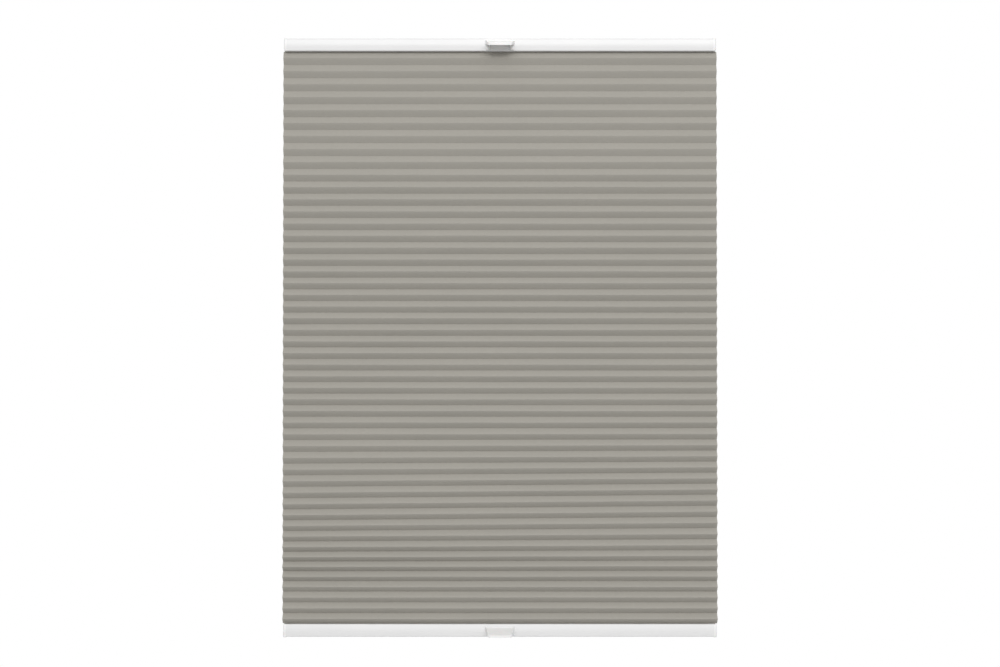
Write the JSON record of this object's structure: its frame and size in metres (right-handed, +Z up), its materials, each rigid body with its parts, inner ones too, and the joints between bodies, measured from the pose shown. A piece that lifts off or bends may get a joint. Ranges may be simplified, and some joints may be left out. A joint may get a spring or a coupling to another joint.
{
  "type": "pleated blind",
  "caption": "Cellular pleated blind of grey honeycomb fabric between slim white rails with end caps and finger grips; the lower rail slides up and folds the fabric.",
  "frame": {"origin": "middle of the top rail's outer (upper) face", "axes": "+X along the rails to the right, +Y away from the room towards the glass, +Z up"},
  "size_m": [0.6024, 0.0446, 0.8316],
  "materials": {
    "rail_enamel": "gloss white enamel on extruded aluminium",
    "cap_plastic": "gloss white moulding",
    "handle_plastic": "satin white moulding",
    "honeycomb_cloth": "warm grey pressed nonwoven polyester",
    "strip_plastic": "matt white extrusion",
    "guide_plastic": "natural white moulding",
    "eyelet_plastic": "polished white moulding",
    "spring_steel": "drawn wire"
  },
  "bodies": {
    "top_rail_assembly": {"top_rail": "rail_enamel", "top_left_end_cap": "cap_plastic", "top_right_end_cap": "cap_plastic", "top_handle": "handle_plastic", "top_fabric_strip": "strip_plastic", "honeycomb_fabric": "honeycomb_cloth", "tension_spring": "spring_steel", "top_left_cord_guide": "guide_plastic", "top_left_cord_eyelet": "eyelet_plastic", "top_right_cord_guide": "guide_plastic", "top_right_cord_eyelet": "eyelet_plastic"},
    "bottom_rail_assembly": {"bottom_rail": "rail_enamel", "bottom_left_end_cap": "cap_plastic", "bottom_right_end_cap": "cap_plastic", "bottom_handle": "handle_plastic", "bottom_fabric_strip": "strip_plastic", "bottom_left_cord_guide": "guide_plastic", "bottom_left_cord_eyelet": "eyelet_plastic", "bottom_right_cord_guide": "guide_plastic", "bottom_right_cord_eyelet": "eyelet_plastic"}
  },
  "joints": [
    {"name": "bottom_rail_lift", "type": "slide", "parent": "top_rail_assembly", "child": "bottom_rail_assembly", "axis": [0, 0, 1], "range_m": [0, 0.7], "deforming": ["honeycomb_fabric"]}
  ]
}
